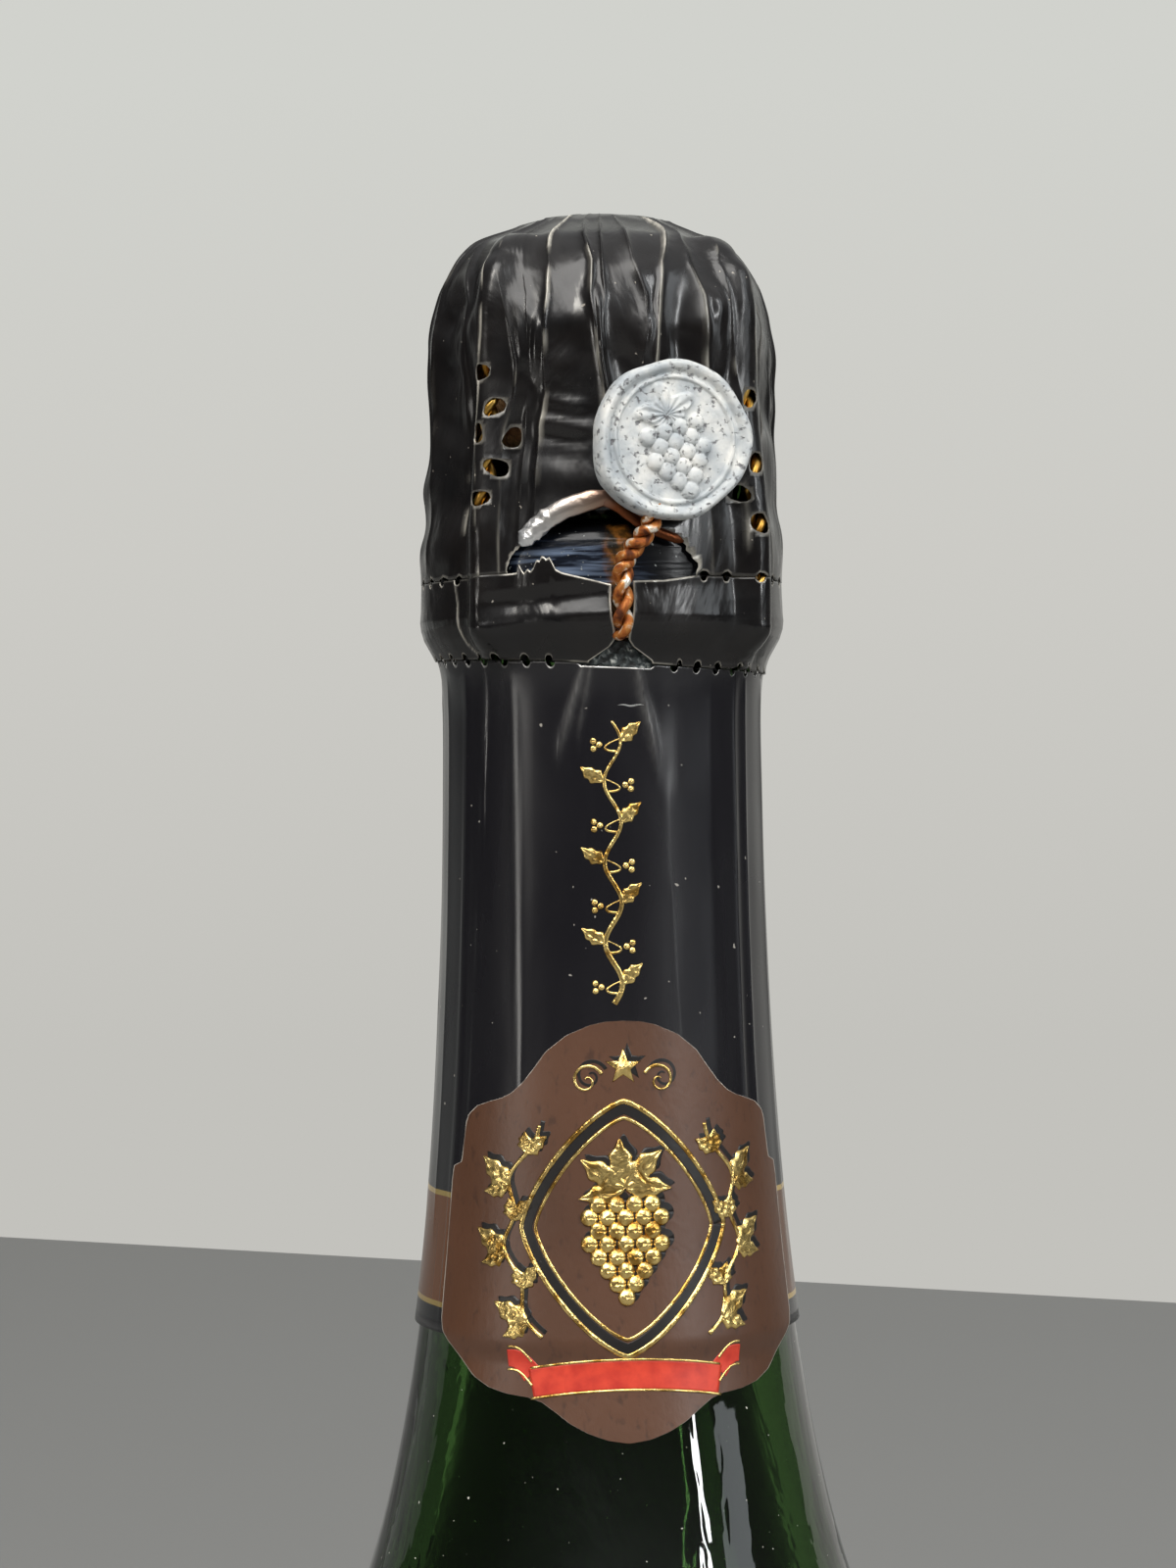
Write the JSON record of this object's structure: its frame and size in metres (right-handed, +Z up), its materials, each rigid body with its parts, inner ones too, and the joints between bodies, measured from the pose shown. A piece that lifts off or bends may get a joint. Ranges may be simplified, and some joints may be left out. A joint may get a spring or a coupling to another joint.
{
  "type": "champagne bottle",
  "caption": "Sealed dark green sparkling wine bottle with cork, twisted wire cage, pleated black foil hood, lead seal on a wire tail and a brown neck label.",
  "frame": {"origin": "centre of the ring that the bottle stands on, at the bottom of its bounding box", "axes": "+Z up along the bottle's axis; -Y is the front, with the seal and the neck label; +X is to the right of someone facing the front"},
  "size_m": [0.0886, 0.0886, 0.3232],
  "materials": {
    "green_glass": "polished",
    "wine": "gloss",
    "agglomerate_cork": "matte",
    "natural_cork": "matte",
    "gold_lacquered_plate": "gloss",
    "gold_lacquered_wire": "gloss",
    "rusty_wire": "matte",
    "cast_lead": "matte",
    "black_foil": "gloss",
    "black_satin_foil": "satin",
    "brown_paper": "satin"
  },
  "bodies": {
    "bottle": {"glass_bottle": "green_glass", "wine": "wine", "tear_band": "black_foil", "neck_sleeve": "black_satin_foil", "neck_label": "brown_paper"},
    "cork": {"cork_agglomerate": "agglomerate_cork", "cork_disc_upper": "natural_cork", "cork_disc_lower": "natural_cork"},
    "cage": {"cap_plate": "gold_lacquered_plate", "cage_wire_1": "gold_lacquered_wire", "cage_wire_2": "gold_lacquered_wire", "cage_wire_3": "gold_lacquered_wire", "cage_wire_4": "gold_lacquered_wire", "belt_wire": "rusty_wire"},
    "hood": {"foil_hood": "black_foil"},
    "seal": {"seal_tail_right": "rusty_wire", "seal_tail_left": "rusty_wire", "seal_disc": "cast_lead"}
  },
  "joints": [
    {"name": "cork_pull", "type": "slide", "parent": "bottle", "child": "cork", "axis": [0, 0, 1], "range_m": [0, 0.06]},
    {"name": "cage_lift", "type": "slide", "parent": "cork", "child": "cage", "axis": [0, 0, 1], "range_m": [0, 0.055], "deforming": ["cage_wire_1", "cage_wire_2", "cage_wire_3", "cage_wire_4", "belt_wire"]},
    {"name": "hood_lift", "type": "slide", "parent": "cage", "child": "hood", "axis": [0, 0, 1], "range_m": [0, 0.07]},
    {"name": "seal_swing", "type": "hinge", "parent": "cage", "child": "seal", "pos_m": [0.00184, -0.01751, 0.289], "axis": [0.9455, 0.3256, 0], "range_deg": [0, 120]}
  ]
}
